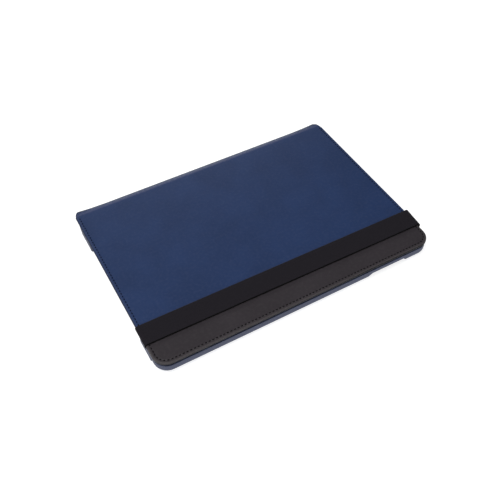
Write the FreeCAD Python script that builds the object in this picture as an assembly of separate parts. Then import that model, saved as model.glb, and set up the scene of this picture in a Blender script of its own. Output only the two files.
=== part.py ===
"""Folio keyboard case for a 10.5-inch tablet, closed, with its elastic strap over the cover.

Frame: +X along the long side, +Y towards the spine, +Z up, origin at the centre of the footprint, on the
surface that the closed case lies on. Lengths are in millimetres.
"""

import FreeCAD, Part
import math
import os

V = FreeCAD.Vector
X_AXIS = V(1, 0, 0)
Z_AXIS = V(0, 0, 1)

# ---- tablet that the tray holds ------------------------------------------------------------------
TABLET_L, TABLET_W, TABLET_H = 250.6, 174.1, 6.1
TABLET_PLAY = 0.3  # on each side of the tablet

# ---- tray ----------------------------------------------------------------------------------------
WALL = 1.5
FLOOR = 2.4
FLOOR_SKIN = 0.2  # left over the hinge screws' holes
LIP_OVER, LIP_H = 0.6, 0.8  # snap lip: how far it reaches over the tablet, and its height
BAY_X = TABLET_L / 2 + TABLET_PLAY
BAY_Y = TABLET_W / 2 + TABLET_PLAY
TRAY_X = BAY_X + WALL
TRAY_Y = BAY_Y + WALL
TRAY_R = 12.0
TRAY_EDGE_R, TRAY_RIM_R = 5.2, 0.4
BAY_EDGE_R = 3.0
LINER_T = 0.4
LINER_INSET, LINER_CLEAR = 4.0, 1.5  # from the bay's walls, and from the openings
LIP_Z = FLOOR + LINER_T + TABLET_H
TRAY_H = LIP_Z + LIP_H

# ---- cover ---------------------------------------------------------------------------------------
COVER_GAP = 2.4  # from the tray's rim to the cover's lining; the strap's ends lie in it
LINING_T, BOARD_T, LEATHER_T = 0.4, 1.1, 0.8
COVER_OVER_X = 0.4  # how far the cover reaches past the tray
COVER_OVER_FRONT = 0.2
COVER_R = 12.0
HEM = 4.3  # width of the turned leather edge that frames the board
LINING_Z = TRAY_H + COVER_GAP
BOARD_Z = LINING_Z + LINING_T
LEATHER_Z = BOARD_Z + BOARD_T
COVER_TOP = LEATHER_Z + LEATHER_T
COVER_X = TRAY_X + COVER_OVER_X

# ---- spine: a half round of leather from the cover's top to the tray's back ----------------------
SPINE_R = COVER_TOP / 2
SPINE_PAST_TRAY = 3.7  # how far the half round stands out past the tray's rear wall
FOLD_DEG = 45.0  # where the cover and the flap fold on the half round, above and below its middle
FOLD_GAP_DEG = 0.6
LINING_FOLD_DEG = 3.0  # how far the spine's lining stops short of each fold
REAR_CORNER_R = 7.0  # plan rounding of the cover's rear corners
REAR_CORNER_PAST = 6.2  # how far that rounding reaches past COVER_REAR
SPINE_INSET, FLAP_INSET = 3.6, 6.5  # how much narrower than the cover the spine and the flap are

# ---- the tray's centre, so that the whole closed case is centred on Y = 0 ------------------------
TRAY_CY = (COVER_OVER_FRONT - SPINE_PAST_TRAY) / 2
TRAY_FRONT = TRAY_CY - TRAY_Y
TRAY_REAR = TRAY_CY + TRAY_Y
COVER_FRONT = TRAY_FRONT - COVER_OVER_FRONT
SPINE_CY = TRAY_REAR + SPINE_PAST_TRAY - SPINE_R
SPINE_CZ = SPINE_R
COVER_REAR = SPINE_CY

# ---- openings in the tray's walls, measured from the cover's front edge or from the middle of the long side 
PORT_OPENING = (36.5, 141.5)
POWER_OPENING = (24.0, 50.0)
JACK_OPENING = (138.0, 160.0)
OPENINGS = [(-1, PORT_OPENING), (1, POWER_OPENING), (1, JACK_OPENING)]
OPENING_DEPTH, OPENING_R = 8.5, 3.0
# Stretches of the short walls that are squarer below than the corners: (side, start, end, edge radius).
SIDE_WALLS = [(-1, 17.3, 36.5, 0.8), (-1, 141.5, 163.5, 3.0), (1, 17.3, 24.0, 0.8), (1, 50.0, 138.0, 3.0)]
SIDE_WALL_OUT = 0.2  # how far they stand out past the corners
BUTTON_X0, BUTTON_X1 = 59.4, 103.0
BUTTON_RAMP, BUTTON_STEP = 7.0, 2.0  # how far the notch takes to rise at one end, and at the other
BUTTON_H, BUTTON_DEPTH, BUTTON_NOTCH_R = 6.0, 7.5, 1.5
CAMERA_R, CAMERA_INSET = 5.5, 16.0

# ---- kickstand -----------------------------------------------------------------------------------
STAND_X = 62.0
STAND_L = 74.5
STAND_T = 1.2
STAND_Z = 0.15  # how far the plate lies inside the tray's back
STAND_R = 2.8
STAND_PLAY = 0.3
STAND_POCKET_H = STAND_Z + STAND_T + 0.1
STAND_FROM_KNUCKLE = 0.4  # from the knuckles to the plate's edge
HINGE_Y = TRAY_CY + 2.2
HINGE_Z = 1.0
HINGE_XS = (-44.0, 44.0)
KNUCKLE_R, PIN_R, PIN_PLAY = 0.85, 0.4, 0.03
TROUGH_R = 1.0  # room round the knuckles in the tray
STAND_KNUCKLE, BRACKET_KNUCKLE, KNUCKLE_PLAY = 5.9, 3.0, 0.15  # half length, length, end play
FOOT_W = 3.0
BRACKET_L, BRACKET_T, BRACKET_PLAY = 7.5, 0.8, 0.2
STAND_SCREW_R, STAND_SCREW_L = 0.7, 1.5
STAND_SCREW_HEAD_R, STAND_SCREW_HEAD_T = 1.3, 0.5
SCREW_SLOT_L, SCREW_SLOT_W, SCREW_SLOT_DEPTH = 2.0, 0.3, 0.2
STAND_SCREW_X, STAND_SCREW_Y = 5.5, 2.6  # from the hinge's middle, and from the bracket's front edge
STAND_MAGNET_T, STAND_MAGNET_POCKET = 0.7, 0.8
STAND_MAGNET_X, STAND_MAGNET_FROM_END = 30.0, 12.0
FIT = 0.05  # room round a screw or a magnet
SCOOP_R, SCOOP_FROM_END = 8.0, 17.6
FLAP_DEEP = 21.0  # how far the bonded flap reaches in from the start of the half round
FLAP_SHORT = 3.2  # the same, past the kickstand's free end
FLAP_R, FLAP_NOTCH_R = 3.0, 5.0
FLAP_NOTCH_X = STAND_X + 4.0  # half width of the stretch where the flap is short
FLAP_PLAY = 0.15

# ---- elastic strap -------------------------------------------------------------------------------
STRAP_W, STRAP_T = 19.5, 1.2
STRAP_FROM_FRONT = 20.5  # from the cover's front edge to the strap's front edge
STRAP_PLAY = 0.15
STRAP_TAB, STRAP_TAB_T = 14.0, 0.9  # the ends turned in under the cover
STRAP_R = 0.81
SEAM_FROM_FRONT = STRAP_FROM_FRONT + STRAP_W / 2  # where the two leathers meet, under the strap

# ---- magnets -------------------------------------------------------------------------------------
MAGNET_R, MAGNET_T = 3.0, 1.0
MAGNET_XS = (-92.0, -40.0, 40.0, 92.0)
MAGNET_FROM_FRONT = 9.0

# ---- keyboard, measured down from the cover's lining ---------------------------------------------
UNIT_X, UNIT_Y, HALF_ROW = 16.8, 17.0, 10.2
KEY_GAP = 2.4
WINDOW_PLAY = 0.35
SIDE_BORDER, FRONT_BORDER, REAR_STRIP = 2.8, 3.0, 17.0
KB_X = 7 * UNIT_X + SIDE_BORDER
KB_REAR = TRAY_CY + 80.7
KB_FRONT = KB_REAR - REAR_STRIP - HALF_ROW - 5 * UNIT_Y - FRONT_BORDER
KB_R = 4.0
KB_WALL = 1.2
BASE_T, BACKPLATE_T, MEMBRANE_T, DOME_SHEET_T = 0.7, 0.3, 0.25, 0.2
FRAME_D0, FRAME_D1 = 3.0, 3.8
DOME_TOP = 2.7
CAP_D0, CAP_WEB, CAP_D1 = 3.1, 3.9, 4.8
CAP_WALL, CAP_CHAMFER, PLUNGER = 0.9, 0.3, 3.0
ARROW_GAP = 0.6  # between the two half-height arrow keys
DOME_R0, DOME_R1 = 2.4, 1.5
SCISSOR_X, SCISSOR_Y, SCISSOR_BAR = 8.6, 6.6, 0.9
SCISSOR_D0, SCISSOR_D1, SCISSOR_PLAY = 2.0, 2.6, 1.2
KB_SCREW_R, KB_SCREW_L, KB_SCREW_HOLE = 0.5, 2.2, 1.8
KB_SCREW_HEAD_R, KB_SCREW_HEAD_T = 1.0, 0.45
BOSS, BOSS_INSET = 2.4, 0.3
LAYER_PLAY = 0.2  # from the layers under the keys to the walls
TAIL_X0, TAIL_X1, TAIL_L = -30.0, -10.0, 3.5
PCB_T, CHIP_T, PCB_GAP = 0.7, 0.9, 0.1
PCB_FROM_SIDE, PCB_END_X, PCB_FROM_KEYS, PCB_FROM_REAR = 8.0, -2.0, 3.7, 0.6
CHIPS = [(-60, 7, 6), (-48, 5, 4), (-34, 3, 3), (-24, 4, 2)]  # each chip's place along X, and its two sides
BATTERY_L, BATTERY_W, BATTERY_T = 92.0, 12.0, 2.0
BATTERY_X, BATTERY_FROM_KEYS, BATTERY_R = 4.0, 1.5, 1.0
PORT_W, PORT_DEPTH, PORT_H, PORT_WALL = 7.6, 5.6, 2.4, 0.35
PORT_TONGUE_W, PORT_TONGUE_T, PORT_PLAY = 4.0, 0.5, 0.15
SWITCH_SLOT, SWITCH_KNOB, SWITCH_W, SWITCH_PLAY = 8.0, 4.0, 2.6, 0.2
SWITCH_RIBS, SWITCH_RIB_W, SWITCH_RIB_DEPTH = 3, 0.3, 0.2  # the grooves across the knob
SWITCH_FROM_SIDE, PAIR_FROM_SIDE, LENS_FROM_SIDE, LENS_PITCH = 22.0, 36.0, 24.0, 6.0
KNOB_PROUD = 0.35  # how far the switch and the pairing button stand out of the upper case
CONTROL_D, PAIR_D = FRAME_D0 - 0.4, FRAME_D0 - 0.3  # the depths that they start from
LENS_INSIDE = 0.1
BUTTON_R, BUTTON_PLAY, LENS_R, LENS_COUNT = 2.0, 0.1, 0.7, 3
PAST = 1.0  # how far a cutting shape runs on past the face that it opens

# Each row, from the spine to the front: its height, then (node, width in units) from the typist's left.
KEY_ROWS = [
    (HALF_ROW, [("escape_key", 1)] + [("function_keys", 1)] * 12 + [("lock_key", 1)]),
    (UNIT_Y, [("grave_key", 0.75)] + [("number_keys", 1)] * 12 + [("backspace_key", 1.25)]),
    (UNIT_Y, [("tab_key", 1.25)] + [("top_letter_keys", 1)] * 12 + [("backslash_key", 0.75)]),
    (UNIT_Y, [("caps_lock_key", 1.5)] + [("home_letter_keys", 1)] * 11 + [("enter_key", 1.5)]),
    (UNIT_Y, [("left_shift_key", 2)] + [("bottom_letter_keys", 1)] * 10 + [("right_shift_key", 2)]),
    (UNIT_Y, [("left_modifier_keys", 1)] * 3 + [("left_modifier_keys", 1.25), ("space_bar", 4.5),
              ("right_modifier_keys", 1.25), ("right_modifier_keys", 1), ("left_arrow_key", 1),
              ("up_down", 1), ("right_arrow_key", 1)]),
]


# ---- helpers -------------------------------------------------------------------------------------
def box(x0, x1, y0, y1, z0, z1):
    """A box between two corners."""
    return Part.makeBox(x1 - x0, y1 - y0, z1 - z0, V(x0, y0, z0))


def outline(x0, x1, y0, y1, z, front_r, rear_r):
    """A rectangle's wire at height z, with its front and its rear corners rounded."""
    corners = [(x0, y0, front_r, 180), (x1, y0, front_r, 270), (x1, y1, rear_r, 0), (x0, y1, rear_r, 90)]
    edges, ends = [], []
    for x, y, r, start in corners:
        if r:
            cx = x + r if x == x0 else x - r
            cy = y + r if y == y0 else y - r
            circle = Part.Circle(V(cx, cy, z), Z_AXIS, r)
            arc = Part.ArcOfCircle(circle, math.radians(start), math.radians(start + 90))
            ends.append((arc.StartPoint, arc.EndPoint))
            edges.append(arc.toShape())
        else:
            ends.append((V(x, y, z), V(x, y, z)))
    for i, (_, end) in enumerate(ends):
        start = ends[(i + 1) % 4][0]
        if (start - end).Length > 1e-6:
            edges.append(Part.LineSegment(end, start).toShape())
    return Part.Wire(Part.__sortEdges__(edges))


def plate(x0, x1, y0, y1, z0, z1, front_r=0.0, rear_r=0.0):
    """A flat plate with rounded corners in plan."""
    return Part.Face(outline(x0, x1, y0, y1, z0, front_r, rear_r)).extrude(V(0, 0, z1 - z0))


def cylinder(r, length, centre, axis):
    """A cylinder from its centre point along axis, half its length each way."""
    return Part.makeCylinder(r, length, centre - axis * (length / 2), axis)


def fillet_at_z(solid, z, radius):
    """Rounds every edge that lies flat at height z."""
    edges = [e for e in solid.Edges if all(abs(v.Z - z) < 1e-4 for v in e.Vertexes)
             and abs(e.CenterOfMass.z - z) < 1e-4]
    return solid.makeFillet(radius, edges)


def spine_sector(x, r_out, r_in, deg0, deg1):
    """Part of the half-round spine, between two angles above its middle, x wide to each side."""
    angles = [math.radians(deg0), math.radians((deg0 + deg1) / 2), math.radians(deg1)]

    def points(r):
        return [V(-x, SPINE_CY + r * math.cos(a), SPINE_CZ + r * math.sin(a)) for a in angles]

    outer, inner = points(r_out), points(r_in)
    edges = [Part.Arc(*outer).toShape(), Part.LineSegment(outer[2], inner[2]).toShape(),
             Part.Arc(*reversed(inner)).toShape(), Part.LineSegment(inner[0], outer[0]).toShape()]
    return Part.Face(Part.Wire(edges)).extrude(V(2 * x, 0, 0))


def depth_box(x0, x1, y0, y1, d0, d1):
    """A box whose height is given as depths below the cover's lining."""
    return box(x0, x1, y0, y1, LINING_Z - d1, LINING_Z - d0)


def fuse(shapes):
    """All shapes as one clean solid."""
    return shapes[0].fuse(shapes[1:]).removeSplitter() if len(shapes) > 1 else shapes[0]


# ---- tray ----------------------------------------------------------------------------------------
def bay():
    """The space that the tablet drops into, with the snap lip left standing over it."""
    low = plate(-BAY_X, BAY_X, TRAY_CY - BAY_Y, TRAY_CY + BAY_Y, FLOOR, LIP_Z, TRAY_R - WALL, TRAY_R - WALL)
    low = fillet_at_z(low, FLOOR, BAY_EDGE_R)
    x, y, r = BAY_X - LIP_OVER, BAY_Y - LIP_OVER, TRAY_R - WALL - LIP_OVER
    return low.fuse(plate(-x, x, TRAY_CY - y, TRAY_CY + y, LIP_Z - PAST, TRAY_H + PAST, r, r))


def side_wall(side, start, end, edge_r):
    """A stretch of a short wall with its own radius along the lower edge."""
    outer, inner = side * (TRAY_X + SIDE_WALL_OUT), side * (TRAY_X - TRAY_EDGE_R)
    wall = box(min(outer, inner), max(outer, inner), COVER_FRONT + start, COVER_FRONT + end, 0, TRAY_H)
    for z, r in ((0, edge_r), (TRAY_H, TRAY_RIM_R)):
        wall = wall.makeFillet(r, [e for e in wall.Edges if abs(e.CenterOfMass.x - outer) < 1e-4
                                   and abs(e.CenterOfMass.z - z) < 1e-4])
    return wall


def side_opening(side, span):
    """A full-height opening in a short wall, which runs on into the floor."""
    y0, y1 = COVER_FRONT + span[0], COVER_FRONT + span[1]
    inner, outer = TRAY_X - OPENING_DEPTH, TRAY_X + PAST
    x0, x1 = (inner, outer) if side > 0 else (-outer, -inner)
    cut = box(x0, x1, y0, y1, -PAST, TRAY_H + PAST)
    inside = [e for e in cut.Edges if abs(e.CenterOfMass.x - side * inner) < 1e-4
              and abs(e.tangentAt(e.FirstParameter).z) > 0.9]
    return cut.makeFillet(OPENING_R, inside)


def button_notch():
    """The notch for the volume buttons: open below, with a ramp at one end and a thin rim left above."""
    profile = [(BUTTON_X0, -PAST), (BUTTON_X0, 0), (BUTTON_X0 + BUTTON_RAMP, BUTTON_H),
               (BUTTON_X1 - BUTTON_STEP, BUTTON_H), (BUTTON_X1, 0), (BUTTON_X1, -PAST)]
    points = [V(x, TRAY_FRONT - PAST, z) for x, z in profile]
    notch = Part.Face(Part.makePolygon(points + points[:1])).extrude(V(0, BUTTON_DEPTH + PAST, 0))
    upper = [e for e in notch.Edges if abs(e.tangentAt(e.FirstParameter).y) > 0.9
             and e.CenterOfMass.z > BUTTON_H - 0.1]
    return notch.makeFillet(BUTTON_NOTCH_R, upper)


def stand_pocket():
    """The pocket in the tray's back for the kickstand, its hinges, and a fingertip."""
    x, end = STAND_X + STAND_PLAY, HINGE_Y + STAND_L + STAND_PLAY
    r = STAND_R + STAND_PLAY
    pocket = plate(-x, x, HINGE_Y + KNUCKLE_R - STAND_PLAY, end, -PAST, STAND_POCKET_H, 0, r)
    cuts = [pocket, cylinder(SCOOP_R, 2 * STAND_POCKET_H, V(x, end - SCOOP_FROM_END, 0), Z_AXIS)]
    half = hinge_half() + 0.5
    leaf_front, leaf_top = HINGE_Y - BRACKET_L - BRACKET_PLAY, HINGE_Z + BRACKET_T / 2 + FIT
    for hx in HINGE_XS:
        cuts.append(cylinder(TROUGH_R, 2 * half, V(hx, HINGE_Y, HINGE_Z), X_AXIS))
        cuts.append(box(hx - half, hx + half, HINGE_Y - TROUGH_R, HINGE_Y + TROUGH_R, -PAST, HINGE_Z))
        cuts.append(box(hx - half, hx + half, leaf_front, HINGE_Y, -PAST, leaf_top))
    return fuse(cuts)


def hinge_half():
    """Half the length of a hinge: half its middle knuckle, the end play, and an outer knuckle."""
    return STAND_KNUCKLE + KNUCKLE_PLAY + BRACKET_KNUCKLE


def flap_outline(play):
    """The bonded part of the rear flap in plan: deep at both sides, shallow past the kickstand's free end."""
    x = COVER_X - FLAP_INSET + play
    deep = plate(-x, x, SPINE_CY - FLAP_DEEP - play, SPINE_CY, 0, LEATHER_T, FLAP_R, 0)
    notch_x, notch_y = FLAP_NOTCH_X - play, SPINE_CY - FLAP_SHORT - play
    return deep.cut(plate(-notch_x, notch_x, 0, notch_y, -PAST, LEATHER_T + PAST, 0, FLAP_NOTCH_R))


def screw_places():
    """Centres of the four screws that hold the kickstand's hinge brackets."""
    y = HINGE_Y - BRACKET_L + STAND_SCREW_Y
    return [V(hx + dx, y, 0) for hx in HINGE_XS for dx in (-STAND_SCREW_X, STAND_SCREW_X)]


def stand_magnet_places():
    """Centres of the magnets that keep the kickstand shut."""
    y, z = HINGE_Y + STAND_L - STAND_MAGNET_FROM_END, FLOOR - STAND_MAGNET_POCKET
    return [V(x, y, z) for x in (-STAND_MAGNET_X, STAND_MAGNET_X)]


def tray_shell():
    """The moulded tray that grips the tablet by its edges."""
    body = plate(-TRAY_X, TRAY_X, TRAY_FRONT, TRAY_REAR, 0, TRAY_H, TRAY_R, TRAY_R)
    body = fillet_at_z(body, 0, TRAY_EDGE_R)
    body = fillet_at_z(body, TRAY_H, TRAY_RIM_R)
    body = fuse([body] + [side_wall(*stretch) for stretch in SIDE_WALLS])
    cuts = [bay(), button_notch(), stand_pocket(), flap_outline(FLAP_PLAY),
            cylinder(CAMERA_R, 2 * TRAY_H, camera_centre(), Z_AXIS)]
    cuts += [side_opening(side, span) for side, span in OPENINGS]
    flap_x, bonded_r = COVER_X - FLAP_INSET + FLAP_PLAY, SPINE_R - LEATHER_T - FIT
    cuts.append(spine_sector(flap_x, 2 * SPINE_R, bonded_r, -90, -FOLD_DEG))
    cuts += [Part.makeCylinder(STAND_SCREW_R + FIT, FLOOR - FLOOR_SKIN, p) for p in screw_places()]
    cuts += [Part.makeCylinder(MAGNET_R + FIT, FLOOR, p) for p in stand_magnet_places()]
    for cut in cuts:
        body = body.cut(cut)
    return body


def camera_centre():
    """Centre of the hole for the tablet's rear camera."""
    return V(TRAY_X - CAMERA_INSET, TRAY_FRONT + CAMERA_INSET, 0)


def tray_liner():
    """The soft liner on the tray's floor, clear of every opening."""
    x, y, r = BAY_X - LINER_INSET, BAY_Y - LINER_INSET, TRAY_R - LINER_INSET
    liner = plate(-x, x, TRAY_CY - y, TRAY_CY + y, FLOOR, FLOOR + LINER_T, r, r)
    liner = liner.cut(cylinder(CAMERA_R + LINER_CLEAR, 2 * TRAY_H, camera_centre(), Z_AXIS))
    for side, span in OPENINGS:
        y0, y1 = COVER_FRONT + span[0] - LINER_CLEAR, COVER_FRONT + span[1] + LINER_CLEAR
        edge = TRAY_X - OPENING_DEPTH - LINER_CLEAR
        x0, x1 = (edge, TRAY_X) if side > 0 else (-TRAY_X, -edge)
        liner = liner.cut(box(x0, x1, y0, y1, 0, TRAY_H))
    notch_y = TRAY_FRONT + BUTTON_DEPTH + LINER_CLEAR
    return liner.cut(box(BUTTON_X0 - LINER_CLEAR, BUTTON_X1 + LINER_CLEAR, TRAY_FRONT, notch_y, 0, TRAY_H))


def rear_flap():
    """Leather from the lower fold of the spine round the tray's rear edge, bonded to the tray's back."""
    tail = spine_sector(COVER_X - FLAP_INSET, SPINE_R, SPINE_R - LEATHER_T, -90, -FOLD_DEG - FOLD_GAP_DEG)
    return fuse([flap_outline(0), tail])


# ---- kickstand -----------------------------------------------------------------------------------
def hinge_bracket(hx):
    """A steel leaf with two knuckles, screwed into the tray's back."""
    half, knuckle = hinge_half(), BRACKET_KNUCKLE / 2
    z0, z1 = HINGE_Z - BRACKET_T / 2, HINGE_Z + BRACKET_T / 2
    leaf_end = HINGE_Y - KNUCKLE_R - BRACKET_PLAY
    parts = [box(hx - half, hx + half, HINGE_Y - BRACKET_L, leaf_end, z0, z1)]
    for cx in (hx - half + knuckle, hx + half - knuckle):
        parts.append(cylinder(KNUCKLE_R, BRACKET_KNUCKLE, V(cx, HINGE_Y, HINGE_Z), X_AXIS))
        parts.append(box(cx - knuckle, cx + knuckle, leaf_end - BRACKET_PLAY, HINGE_Y, z0, z1))
    bracket = fuse(parts).cut(cylinder(PIN_R, 4 * half, V(hx, HINGE_Y, HINGE_Z), X_AXIS))
    for p in screw_places():
        bracket = bracket.cut(cylinder(STAND_SCREW_R + FIT, 2 * FLOOR, p, Z_AXIS))
    return bracket


def hinge_pins():
    """One steel pin for each hinge."""
    return Part.makeCompound([cylinder(PIN_R, 2 * hinge_half(), V(hx, HINGE_Y, HINGE_Z), X_AXIS)
                              for hx in HINGE_XS])


def hinge_screws():
    """Four small screws, heads down, through the brackets into the tray."""
    screws = []
    leaf_z = HINGE_Z - BRACKET_T / 2
    face_z = leaf_z - STAND_SCREW_HEAD_T
    a, b = SCREW_SLOT_L / 2, SCREW_SLOT_W / 2
    for p in screw_places():
        head = Part.makeCylinder(STAND_SCREW_HEAD_R, STAND_SCREW_HEAD_T, V(p.x, p.y, face_z))
        slot = box(p.x - a, p.x + a, p.y - b, p.y + b, face_z - PAST, face_z + SCREW_SLOT_DEPTH)
        shank = Part.makeCylinder(STAND_SCREW_R, STAND_SCREW_L, V(p.x, p.y, leaf_z))
        screws.append(fuse([head.cut(slot), shank]))
    return Part.makeCompound(screws)


def stand_magnets():
    """Two disc magnets in the tray's floor, over the kickstand."""
    return Part.makeCompound([Part.makeCylinder(MAGNET_R, STAND_MAGNET_T, p + Z_AXIS * FIT)
                              for p in stand_magnet_places()])


def kickstand_plate():
    """The steel plate that folds out of the tray's back, with a knuckle rolled at each hinge."""
    start, end = HINGE_Y + KNUCKLE_R + STAND_FROM_KNUCKLE, HINGE_Y + STAND_L - FOOT_W
    parts = [box(-STAND_X, STAND_X, start, end, STAND_Z, STAND_Z + STAND_T)]
    for hx in HINGE_XS:
        parts.append(cylinder(KNUCKLE_R, 2 * STAND_KNUCKLE, V(hx, HINGE_Y, HINGE_Z), X_AXIS))
        parts.append(box(hx - STAND_KNUCKLE, hx + STAND_KNUCKLE, HINGE_Y, start + 0.1,
                         HINGE_Z - KNUCKLE_R, STAND_Z + STAND_T))
    stand = fuse(parts)
    for hx in HINGE_XS:
        stand = stand.cut(cylinder(PIN_R + PIN_PLAY, 2 * hinge_half(), V(hx, HINGE_Y, HINGE_Z), X_AXIS))
    return stand


def kickstand_foot():
    """The rubber edge that grips the table."""
    end = HINGE_Y + STAND_L
    return plate(-STAND_X, STAND_X, end - FOOT_W, end, STAND_Z, STAND_Z + STAND_T, 0, STAND_R)


# ---- spine ---------------------------------------------------------------------------------------
def spine_leather():
    """The stretch of spine leather between the two folds."""
    swing = FOLD_DEG - FOLD_GAP_DEG
    return spine_sector(COVER_X - SPINE_INSET, SPINE_R, SPINE_R - LEATHER_T, -swing, swing)


def spine_lining():
    """The lining inside the spine leather."""
    swing = FOLD_DEG - LINING_FOLD_DEG
    r = SPINE_R - LEATHER_T
    return spine_sector(COVER_X - SPINE_INSET, r, r - LINING_T, -swing, swing)


# ---- cover ---------------------------------------------------------------------------------------
def cover_skin(y0, y1, front_r):
    """Top leather between two depths, with its edge turned in round the board."""
    sheet = plate(-COVER_X, COVER_X, y0, y1, LEATHER_Z, COVER_TOP, front_r, 0)
    hem = plate(-COVER_X, COVER_X, y0, y1, BOARD_Z, LEATHER_Z, front_r, 0)
    x, front = COVER_X - HEM, COVER_FRONT + HEM
    inside = plate(-x, x, front, COVER_REAR + PAST, BOARD_Z - PAST, LEATHER_Z, COVER_R - HEM, 0)
    return fuse([sheet, hem.cut(inside)])


def seam_y():
    """Where the navy leather meets the trim strip."""
    return COVER_FRONT + SEAM_FROM_FRONT


def cover_leather():
    """The navy leather, from the seam under the strap to the upper fold of the spine."""
    tail = spine_sector(COVER_X, SPINE_R, SPINE_R - LEATHER_T, FOLD_DEG + FOLD_GAP_DEG, 90)
    rear = COVER_REAR + REAR_CORNER_PAST
    corners = plate(-COVER_X, COVER_X, 0, rear, 0, COVER_TOP + PAST, 0, REAR_CORNER_R)
    return fuse([cover_skin(seam_y(), COVER_REAR, 0), tail.common(corners)])


def cover_trim_strip():
    """The charcoal strip along the cover's free edge."""
    return cover_skin(COVER_FRONT, seam_y(), COVER_R)


def cover_board():
    """The stiff board inside the cover, with pockets for the magnets."""
    x = COVER_X - HEM
    board = plate(-x, x, COVER_FRONT + HEM, COVER_REAR, BOARD_Z, LEATHER_Z, COVER_R - HEM, 0)
    for p in magnet_places():
        board = board.cut(cylinder(MAGNET_R + FIT, 2 * BOARD_T, p, Z_AXIS))
    return board


def magnet_places():
    """Centres of the magnets in the cover's free edge."""
    y = COVER_FRONT + MAGNET_FROM_FRONT
    return [V(x, y, BOARD_Z + BOARD_T / 2) for x in MAGNET_XS]


def closure_magnets():
    """Disc magnets in the cover's board, which hold the cover to the tablet and wake it."""
    return Part.makeCompound([cylinder(MAGNET_R, MAGNET_T, p, Z_AXIS) for p in magnet_places()])


def cover_lining():
    """The lining on the cover's inner face."""
    return plate(-COVER_X, COVER_X, COVER_FRONT, COVER_REAR, LINING_Z, BOARD_Z, COVER_R, 0)


def elastic_strap():
    """The elastic band across the cover, turned under the cover at both ends."""
    y0 = COVER_FRONT + STRAP_FROM_FRONT
    y1 = y0 + STRAP_W
    inner_x = COVER_X + STRAP_PLAY
    outer_x, tab_x = inner_x + STRAP_T, inner_x - STRAP_TAB
    top, under = COVER_TOP + STRAP_PLAY, LINING_Z - STRAP_PLAY
    outer = box(-outer_x, outer_x, y0, y1, under - STRAP_TAB_T, top + STRAP_T)
    outer = outer.makeFillet(STRAP_R, [e for e in outer.Edges if abs(e.tangentAt(e.FirstParameter).y) > 0.9])
    inside = box(-inner_x, inner_x, y0 - PAST, y1 + PAST, under, top)
    between = box(-tab_x, tab_x, y0 - PAST, y1 + PAST, under - STRAP_TAB_T - PAST, top)
    return outer.cut(inside).cut(between)


# ---- keyboard ------------------------------------------------------------------------------------
def key_places():
    """Every key as (node, x centre, y centre, x size, y size), and the size is that of its cap."""
    keys = []
    y = KB_REAR - REAR_STRIP
    for height, row in KEY_ROWS:
        x = 7 * UNIT_X
        for node, units in row:
            width = units * UNIT_X
            cx, cy = x - width / 2, y - height / 2
            if node == "up_down":
                cap = (height - KEY_GAP - ARROW_GAP) / 2
                offset = (cap + ARROW_GAP) / 2
                keys.append(("up_arrow_key", cx, cy + offset, width - KEY_GAP, cap))
                keys.append(("down_arrow_key", cx, cy - offset, width - KEY_GAP, cap))
            else:
                keys.append((node, cx, cy, width - KEY_GAP, height - KEY_GAP))
            x -= width
        y -= height
    return keys


def key_cap(cx, cy, w, h):
    """A hollow cap with a chamfered top and a plunger."""
    cap = depth_box(cx - w / 2, cx + w / 2, cy - h / 2, cy + h / 2, CAP_D0, CAP_D1)
    top = LINING_Z - CAP_D1
    rim = [e for e in cap.Edges if abs(e.CenterOfMass.z - top) < 1e-4]
    cap = cap.makeChamfer(CAP_CHAMFER, rim)
    x, y = w / 2 - CAP_WALL, h / 2 - CAP_WALL
    cap = cap.cut(depth_box(cx - x, cx + x, cy - y, cy + y, CAP_D0 - PAST, CAP_WEB))
    p = PLUNGER / 2
    return fuse([cap, depth_box(cx - p, cx + p, cy - p, cy + p, DOME_TOP, CAP_WEB)])


def domes():
    """The rubber sheet with a dome under each key."""
    sheet_d = BASE_T + BACKPLATE_T + MEMBRANE_T
    solids = [key_layer(sheet_d, sheet_d + DOME_SHEET_T)]
    height = DOME_TOP - sheet_d - DOME_SHEET_T
    for _, cx, cy, _, _ in key_places():
        solids.append(Part.makeCone(DOME_R1, DOME_R0, height, V(cx, cy, LINING_Z - DOME_TOP)))
    return fuse(solids)


def scissor_frames():
    """A flat scissor frame round each dome, under every cap that is deep enough for one."""
    frames = []
    for _, cx, cy, w, h in key_places():
        if h < SCISSOR_Y + 2 * CAP_WALL:
            continue
        x, y = min(SCISSOR_X, w - 2 * CAP_WALL - SCISSOR_PLAY) / 2, SCISSOR_Y / 2
        ring = depth_box(cx - x, cx + x, cy - y, cy + y, SCISSOR_D0, SCISSOR_D1)
        x, y = x - SCISSOR_BAR, y - SCISSOR_BAR
        inside = depth_box(cx - x, cx + x, cy - y, cy + y, SCISSOR_D0 - PAST, SCISSOR_D1 + PAST)
        frames.append(ring.cut(inside))
    return Part.makeCompound(frames)


def boss_places():
    """Centres of the bosses that the keyboard's screws go into."""
    inset = BOSS / 2 + BOSS_INSET
    x, front, rear = KB_X - inset, KB_FRONT + inset, KB_REAR - BOSS
    return [(-x, front), (x, front), (-x, rear), (x, rear), (0.0, rear)]


def strip_y():
    """The middle of the strip behind the keys, which holds the electronics."""
    return KB_REAR - REAR_STRIP / 2


def switch_x():
    """The middle of the power switch's slot, at the typist's right."""
    return -KB_X + SWITCH_FROM_SIDE


def pair_x():
    """The centre of the pairing button."""
    return -KB_X + PAIR_FROM_SIDE


def lens_places():
    """Centres of the three indicator lenses."""
    return [V(KB_X - LENS_FROM_SIDE - i * LENS_PITCH, strip_y(), 0) for i in range(LENS_COUNT)]


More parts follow.
